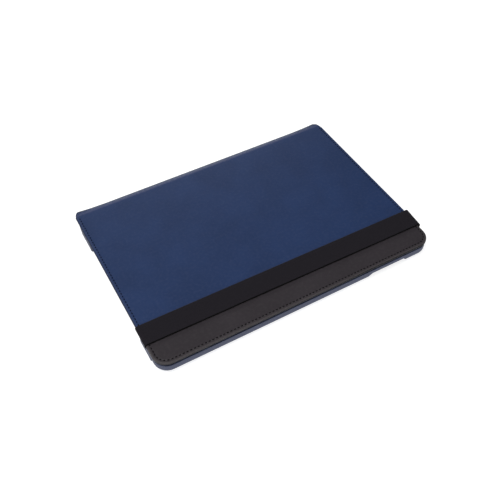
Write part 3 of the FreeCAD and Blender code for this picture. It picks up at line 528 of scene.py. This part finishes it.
def spine_widths(y, degrees):
    """The leather's width on each side: its rear corners are rounded, and it draws in round the spine."""
    if degrees < 45:
        return (COVER_X - SPINE_IN - (45 - degrees) / 90,) * 2
    pasts = [(r, max(0.0, y - REAR_Y + r)) for r in (REAR_R_LEFT, REAR_R_RIGHT)]
    return tuple(COVER_X - r + math.sqrt(r ** 2 - past ** 2) for r, past in pasts)


def upper_spine_stations():
    """From the end of the cover's board, over the upper fold, to the middle of the spine."""
    up = (0.0, 1.0)
    thinning = ((RIM_T, SPINE_START), (1.7, 79.0), (1.4, 82.0))
    rows = [(spine_widths(y, 90), thickness, y, COVER_TOP, up) for thickness, y in thinning]
    for degrees in range(90, -1, -5):
        y, z, normal = arc_station(degrees)
        sprung = math.sin(math.radians(2 * degrees))
        rows.append((spine_widths(y, degrees), SPINE_T, y, z, normal, sprung))
    return rows


def lower_spine_stations():
    """From the middle of the spine, over the lower fold, to the edge of the tray's back."""
    rows = []
    for degrees in range(0, -91, -5):
        y, z, normal = arc_station(degrees)
        width = min(spine_widths(y, degrees)[0], COVER_X - FLAP_INSET * rise(degrees, -45, -75))
        thickness = SPINE_T if degrees > -60 else LEATHER_T
        rows.append(((width, width), thickness, y, z, normal))
    return rows


def outline_offset(inset):
    """Half of the cover's outline, from the seam forward and round the left front corner to the middle."""
    corner_x, corner_y, radius = -COVER_X + COVER_R, COVER_FRONT + COVER_R, COVER_R - inset
    points = [(-COVER_X + inset, y) for y in (SEAM_Y - 0.1, -66.0, -72.0, corner_y)]
    steps = 12
    for i in range(1, steps + 1):
        a = math.radians(180 + 90 * i / steps)
        points.append((corner_x + radius * math.cos(a), corner_y + radius * math.sin(a)))
    return points + [(x, COVER_FRONT + inset) for x in (-90.0, -60.0, -30.0, 0.0)]


def whole_outline(inset):
    """The cover's outline from the seam on the left, round the front, to the seam on the right."""
    half = outline_offset(inset)
    return half + [(-x, y) for x, y in reversed(half[:-1])]


def trim_strip():
    """The charcoal strip with its turned and stitched edge."""
    rings = [[(x, y, COVER_TOP - depth) for x, y in whole_outline(inset)]
             for inset, depth in edge_profile(RIM_T)]
    count = len(rings[0])
    verts = [p for ring in rings for p in ring]
    faces = grid_faces(len(rings), count, close_cols=False, cap_ends=True)
    side = [r * count for r in range(len(rings))]
    other = [r * count + count - 1 for r in range(len(rings))]
    faces.append(tuple(side + other[::-1]))
    obj = add_mesh("trim_strip", verts, faces, CHARCOAL)
    sharpen(obj, 50)
    return paint_edges(obj)


def rear_flap():
    """The flap bonded to the tray's back, deep at both sides and shallow past the kickstand."""
    x, notch = COVER_X - FLAP_INSET, STAND_X + 4.0
    deep, short = SPINE_CY - FLAP_DEEP, SPINE_CY - FLAP_SHORT
    outer, inner = 3.0, 5.0  # radii of its outer corners and of the notch
    cut = 0.3  # of a radius, from a corner to the middle of its round, along each side
    outline = [(-x, SPINE_CY), (-x, deep + outer), (-x + cut * outer, deep + cut * outer), (-x + outer, deep),
               (-notch, deep), (-notch, short - inner), (-notch + cut * inner, short - cut * inner),
               (-notch + inner, short)]
    outline += [(-px, py) for px, py in reversed(outline)]
    levels = [(0.0, LEATHER_T), (0.0, 0.22), (0.12, 0.06), (0.35, 0.0)]
    verts = [(px - math.copysign(inset, px), py + (inset if py < SPINE_CY else 0.0), z)
             for inset, z in levels for px, py in outline]
    return add_mesh("rear_flap_skin", verts, grid_faces(len(levels), len(outline)), NAVY, smooth=False)


def stitches(name, runs, material, length=1.9, radius=0.5):
    """Thread stitches laid along runs of (x, y, z) points, evenly spaced along each run."""
    parts = []
    for run in runs:
        points = [Vector(p) for p in run]
        lengths = [0.0]
        for a, b in zip(points, points[1:]):
            lengths.append(lengths[-1] + (b - a).length)
        count = int(lengths[-1] / STITCH_PITCH)
        start = (lengths[-1] - count * STITCH_PITCH) / 2
        for i in range(count):
            middle = start + (i + 0.5) * STITCH_PITCH
            k = max(j for j, s in enumerate(lengths[:-1]) if s <= middle)
            t = (middle - lengths[k]) / (lengths[k + 1] - lengths[k])
            along = (points[k + 1] - points[k]).normalized()
            parts.append(stitch(points[k].lerp(points[k + 1], t), along, length, radius))
    verts, faces = merge(parts)
    return add_mesh(name, verts, faces, material)


def stitch(centre, along, length, radius):
    """One stitch: a short bow of flattened thread that dips into its holes at both ends."""
    up = Vector((0, 0, 1))
    side = up.cross(along).normalized()
    half = [(-0.5, 0.35, -0.208), (-0.42, 0.8, -0.078), (-0.2, 1.0, 0.0)]  # share of length, of radius, drop
    rows = half + [(-t, r, drop) for t, r, drop in reversed(half)]
    sides, flatness = 6, 0.7
    verts = []
    for t, r, drop in rows:
        for k in range(sides):
            a = 2 * math.pi * k / sides
            rim = side * math.cos(a) + up * (math.sin(a) * flatness)
            verts.append(tuple(centre + along * (t * length) + up * drop + rim * (r * radius)))
    return verts, grid_faces(len(rows), sides)


def stitch_runs(z, seam_gap=0.8):
    """The lines of stitches: both sides of the navy leather, and round the trim strip."""
    x, start, end = COVER_X - STITCH_IN, SEAM_Y + seam_gap, SPINE_CY - 2.1
    right = [(stretched_x(start) - STITCH_IN, start, z), (x, SPINE_START, z), (x, end, z)]
    navy = [[(-x, start, z), (-x, end, z)], right]
    trim = [[(px, py, z) for px, py in whole_outline(STITCH_IN)]]
    return navy, trim


def blend_fold(obj):
    """Bakes a piece of the spine's transform into its points."""
    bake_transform(obj)


def build_leathers():
    cover = strip("navy_cover", cover_stations(), NAVY)
    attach(cover, "cover")
    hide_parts("cover_leather")
    upper = strip("spine_upper_fold", upper_spine_stations(), NAVY)
    blend_fold(upper)
    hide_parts("spine_leather", "spine_lining")
    lower = strip("spine_lower_fold", lower_spine_stations(), NAVY)
    blend_fold(lower)
    flap = rear_flap()
    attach(flap, "tray")
    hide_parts("rear_flap")
    trim = trim_strip()
    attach(trim, "cover")
    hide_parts("cover_trim_strip")
    navy_runs, trim_runs = stitch_runs(COVER_TOP - STITCH_SUNK)
    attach(stitches("navy_stitches", navy_runs, NAVY_THREAD), "cover")
    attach(stitches("trim_stitches", trim_runs, BLACK_THREAD), "cover")
    navy_runs, trim_runs = stitch_runs(LINING_Z - LINING_STITCH)
    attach(stitches("lining_stitches", navy_runs + trim_runs, BLACK_THREAD), "cover")


# ---- elastic strap -------------------------------------------------------------------------------
def bend(x, z, radius, degrees):
    """A point on a round turn of the band, from its furthest out place and the height of its middle."""
    a = math.radians(degrees)
    return -x + radius * (1 - math.cos(a)), z + radius * math.sin(a)


def strap_end(reach):
    """The band's middle line from under the left edge up on to the cover, which it passes at x = -reach."""
    low, top = LINING_Z - STRAP_HEM, COVER_TOP + STRAP_GAP + STRAP_T / 2
    sewn = [(-113.9, low), (-120.0, low), (-126.4, low + 0.05)]
    under = [bend(reach, low + 0.05 + UNDER_BEND, UNDER_BEND, degrees) for degrees in (-60, -30, 0)]
    over = [bend(reach, top - OVER_BEND, OVER_BEND, degrees) for degrees in (20, 45, 70, 90)]
    return sewn + under + over + [(x, top) for x in (-122.0, -100.0, -66.0, -33.0)]


def strap_path():
    """The band's middle line from under the left edge, over the cover, to under the looser right edge."""
    right = [(-x, z) for x, z in reversed(strap_end(STRAP_RIGHT))]
    return strap_end(STRAP_LEFT) + [(0.0, right[0][1])] + right


def strap_thickness(z):
    """The band is stretched thin where it bends round an edge, and at its sewn ends."""
    return STRAP_T * (0.62 if z < BOARD_Z + 1.3 else 1.0)


def strap_section():
    """The upper half of the band's section, as (place across it, height as a share of its thickness)."""
    profile, steps = [], STRAP_CORDS * 2
    for i in range(steps + 1):
        t = -1 + 2 * i / steps
        rounding = 0.1 * max(0.0, (abs(t) - 0.93) / 0.07) ** 2
        profile.append((t * STRAP_W / 2, 0.5 * (1 - rounding) - (0.0 if i % 2 else CORD_DEPTH)))
    # Points that bound the shadow painted along the front edge.
    edges = [(share * FRONT_SHADOW_W - STRAP_W / 2, profile[0][1]) for share in (0.9, 1.2)]
    return profile[:1] + edges + profile[1:]


def strap_middle(x):
    """The band lies a little askew: the place of its middle line at x."""
    return STRAP_Y - STRAP_SKEW * x / COVER_X


def strap():
    """The woven band, with rounded selvedges and shallow lengthwise cords."""
    path = [Vector((x, 0, z)) for x, z in strap_path()]
    profile = strap_section()
    ring = profile + [(y, -h) for y, h in reversed(profile)]
    verts = []
    for i, p in enumerate(path):
        along = (path[min(len(path) - 1, i + 1)] - path[max(0, i - 1)]).normalized()
        normal = Vector((0, -1, 0)).cross(along)
        flare = STRAP_FLARE * max(0.0, p.x - FLARE_X) / (STRAP_RIGHT - FLARE_X)
        for y, h in ring:
            q = p + normal * h * strap_thickness(p.z)
            verts.append((q.x + flare * y / (STRAP_W / 2), strap_middle(p.x) + y, q.z))
    obj = add_mesh("woven_strap", verts, grid_faces(len(path), len(ring)), ELASTIC)
    # Painted shadow along the band's front edge.
    paint(obj, "front_shadow", lambda p: float(p.y - strap_middle(p.x) < FRONT_SHADOW_W - STRAP_W / 2))
    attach(obj, "strap")
    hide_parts("elastic_strap")


# ---- keyboard ------------------------------------------------------------------------------------
# Rows from the spine to the front; in each, (node, width in units, legend) from the typist's left to right.
# "up_down" is the place that the up and the down arrow key share.
def same(node, legends):
    return [(node, 1, legend) for legend in legends]


KEY_ROWS = [
    (HALF_ROW, [("escape_key", 1, "esc")] + same("function_keys", [f"F{i}" for i in range(1, 13)])
     + [("lock_key", 1, "lock")]),
    (UNIT_Y, [("grave_key", 0.75, "`")] + same("number_keys", "1234567890-=")
     + [("backspace_key", 1.25, "back")]),
    (UNIT_Y, [("tab_key", 1.25, "tab")] + same("top_letter_keys", "QWERTYUIOP[]")
     + [("backslash_key", 0.75, "\\")]),
    (UNIT_Y, [("caps_lock_key", 1.5, "caps")] + same("home_letter_keys", "ASDFGHJKL;'")
     + [("enter_key", 1.5, "enter")]),
    (UNIT_Y, [("left_shift_key", 2, "shift")] + same("bottom_letter_keys", "ZXCVBNM,./")
     + [("right_shift_key", 2, "shift")]),
    (UNIT_Y, same("left_modifier_keys", ["fn", "ctrl", "alt"])
     + [("left_modifier_keys", 1.25, "sys"), ("space_bar", 4.5, ""), ("right_modifier_keys", 1.25, "sys"),
        ("right_modifier_keys", 1, "alt"), ("left_arrow_key", 1, "<"), ("up_down", 1, ""),
        ("right_arrow_key", 1, ">")]),
]


def key_places():
    """Every key as (node, x centre, y centre, cap width, cap depth, legend)."""
    keys, y = [], KB_REAR - REAR_STRIP
    row_units = sum(units for node, units, legend in KEY_ROWS[0][1])
    for height, row in KEY_ROWS:
        x = row_units / 2 * UNIT_X
        for node, units, legend in row:
            width = units * UNIT_X
            cx, cy, w, h = x - width / 2, y - height / 2, width - KEY_GAP, height - KEY_GAP
            if node == "up_down":
                cap = h / 2 - ARROW_GAP / 2
                aside = (cap + ARROW_GAP) / 2
                keys.append(("up_arrow_key", cx, cy + aside, w, cap, "^"))
                keys.append(("down_arrow_key", cx, cy - aside, w, cap, "v"))
            else:
                keys.append((node, cx, cy, w, h, legend))
            x -= width
        y -= height
    return keys


# A cap as (inset, z): its stem, its skirt, its rounded edge and its dished face.
CAP_LEVELS = [(1.3, CAP_LOW - 0.8), (1.3, CAP_LOW), (0.0, CAP_LOW), (0.0, CAP_TOP + 0.42),
              (0.06, CAP_TOP + 0.2), (0.2, CAP_TOP + 0.06), (0.42, CAP_TOP), (0.9, CAP_TOP + 0.005),
              (2.2, CAP_TOP + 0.07)]
CAP_R, LEGEND_T, LEGEND_Z = 1.1, 0.012, CAP_TOP + 0.055
SIGN_SIZE, WORD_SIZE = 4.6, 2.9  # legends of one character, and words
SHORT_KEY, SHORT_SIZE = 8.0, 2.7  # the largest legend on a key less deep than this


def legend_mesh(text, cx, cy, size):
    """Points and faces of a legend on a key's face, read from the typist's side."""
    curve = bpy.data.curves.new("legend", "FONT")
    curve.body = text
    curve.size = size
    curve.align_x = curve.align_y = "CENTER"
    curve.extrude = LEGEND_T
    curve.resolution_u = 3
    holder = bpy.data.objects.new("legend", curve)
    mesh = bpy.data.meshes.new_from_object(holder)
    verts = [(cx - v.co.x, cy + v.co.y, LEGEND_Z - v.co.z) for v in mesh.vertices]
    faces = [tuple(p.vertices) for p in mesh.polygons]
    bpy.data.objects.remove(holder)
    bpy.data.curves.remove(curve)
    bpy.data.meshes.remove(mesh)
    return verts, faces


def build_keys():
    caps, legends = {}, {}
    for node, cx, cy, w, h, legend in key_places():
        caps.setdefault(node, []).append(stacked(cx, cy, w, h, CAP_R, CAP_LEVELS))
        if legend:
            size = SIGN_SIZE if len(legend) == 1 else WORD_SIZE
            if h < SHORT_KEY:
                size = min(size, SHORT_SIZE)
            legends.setdefault(node, []).append(legend_mesh(legend, cx, cy, size))
    for node, parts in caps.items():
        verts, faces = merge(parts)
        obj = add_mesh(node + "_caps", verts, faces, KEYCAP)
        sharpen(obj, 50)
        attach(obj, node)
        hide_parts(node)
    for node, parts in legends.items():
        verts, faces = merge(parts)
        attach(add_mesh(node + "_legends", verts, faces, INK, smooth=False), node)


def sharpen(obj, degrees):
    """Splits the smooth shading at edges sharper than an angle."""
    limit = math.radians(degrees)
    bm = bmesh.new()
    bm.from_mesh(obj.data)
    for edge in bm.edges:
        edge.smooth = len(edge.link_faces) == 2 and edge.calc_face_angle(0.0) < limit
    bm.to_mesh(obj.data)
    bm.free()


# ---- CAD nodes that keep their shape -------------------------------------------------------------
FINISH = {
    "tray_shell": SHELL, "tray_liner": LINER, "hinge_bracket_left": STEEL, "hinge_bracket_right": STEEL,
    "hinge_pins": STEEL, "hinge_screws": STEEL, "stand_magnets": NICKEL, "kickstand_plate": STAND,
    "kickstand_foot": RUBBER, "cover_board": BOARD, "cover_lining": LINING, "closure_magnets": NICKEL,
    "keyboard_base": KEYBOARD, "keyboard_frame": KEYBOARD, "keyboard_screws": STEEL, "key_backplate": STEEL,
    "membrane_circuit": FILM, "dome_sheet": SILICONE, "scissor_frames": KEYCAP, "controller_board": CIRCUIT,
    "battery": FOIL, "charge_port": STEEL, "power_switch": KEYCAP, "pair_button": KEYCAP,
    "indicator_lenses": LENS,
}
BEVELS = {"kickstand_plate": 0.18, "keyboard_frame": 0.25, "kickstand_foot": 0.25, "cover_lining": 0.12,
          "power_switch": 0.12, "pair_button": 0.15}


def finish_nodes():
    for node, material in FINISH.items():
        obj = NODES[node]
        obj.data.materials.clear()
        obj.data.materials.append(material)
        if node in BEVELS:
            bevel = obj.modifiers.new("edge", "BEVEL")
            bevel.width = BEVELS[node] * MM
            bevel.segments = 2
            bevel.limit_method = "ANGLE"
            bevel.angle_limit = math.radians(40)


# ---- floor, light and camera ---------------------------------------------------------------------
def build_stage():
    """A white paper floor and the wall behind it. They glow a little, so that both come out white."""
    paper = Surface("paper_floor", 0.9, Specular_IOR_Level=0.1)
    paper.colour(paper.mix(paper.noise(9.0, 2.0), (0.49, 0.49, 0.49), (0.51, 0.51, 0.51)))
    paper.shader.inputs["Emission Color"].default_value = (1.0, 1.0, 1.0, 1.0)
    paper.shader.inputs["Emission Strength"].default_value = 0.78
    reach, z = 6000.0, -0.4
    corners = [(-reach, -reach, z), (reach, -reach, z), (reach, reach, z), (-reach, reach, z)]
    add_mesh("floor", corners, [(0, 1, 2, 3)], paper.material)
    backdrop(paper.material, reach * 0.8, z)


def backdrop(material, radius, floor_z):
    """A round paper wall that sweeps up from the floor; only the camera sees it, so it lights nothing."""
    sweep, height, sides, foot_z = 1200.0, 5000.0, 72, floor_z + 0.2
    angles = [math.radians(a) for a in range(0, 91, 10)]
    profile = [(radius - sweep * (1 - math.sin(a)), foot_z + sweep * (1 - math.cos(a))) for a in angles]
    profile.append((radius, floor_z + height))
    turns = [2 * math.pi * i / sides for i in range(sides)]
    verts = [(r * math.cos(turn), r * math.sin(turn), z) for r, z in profile for turn in turns]
    wall = add_mesh("backdrop", verts, grid_faces(len(profile), sides, cap_ends=False), material)
    for ray in ("diffuse", "glossy", "transmission", "volume_scatter", "shadow"):
        setattr(wall, "visible_" + ray, False)
    return wall


def area_light(name, place, target, size, power, colour=(1.0, 1.0, 1.0)):
    data = bpy.data.lights.new(name, "AREA")
    data.shape = "RECTANGLE"
    data.size, data.size_y = size
    data.energy = power
    data.color = colour
    light = bpy.data.objects.new(name, data)
    light.location = place
    light.rotation_euler = (Vector(target) - Vector(place)).to_track_quat("-Z", "Y").to_euler()
    bpy.context.scene.collection.objects.link(light)


def build_light():
    world = bpy.data.worlds.new("studio")
    world.use_nodes = True
    background = world.node_tree.nodes["Background"]
    background.inputs["Color"].default_value = (0.95, 0.97, 1.0, 1.0)
    background.inputs["Strength"].default_value = 0.2
    bpy.context.scene.world = world
    bpy.context.scene.view_settings.view_transform = "Standard"
    area_light("back", (0.25, 1.3, 0.42), (0, 0.05, 0), (1.2, 0.25), 6.0)
    area_light("key", (-0.55, -0.1, 1.45), (0, 0, 0), (1.1, 0.8), 15.0)
    area_light("fill", (-0.45, -1.4, 0.8), (0, 0, 0), (1.2, 0.9), 4.5, (0.94, 0.97, 1.0))


def build_camera():
    data = bpy.data.cameras.new("camera")
    data.lens = 49.3
    data.sensor_width = 36.0
    data.clip_start = 0.01
    camera = bpy.data.objects.new("camera", data)
    azimuth, pitch = math.radians(29.492), math.radians(49.6)
    level = Vector((math.sin(azimuth), math.cos(azimuth), 0))
    forward = level * math.cos(pitch) - Vector((0, 0, math.sin(pitch)))
    camera.location = Vector((-196.2, -348.5, 451.6)) * MM
    camera.rotation_euler = forward.to_track_quat("-Z", "Y").to_euler()
    bpy.context.scene.collection.objects.link(camera)
    bpy.context.scene.camera = camera


build_leathers()
strap()
build_keys()
finish_nodes()
build_stage()
build_light()
build_camera()
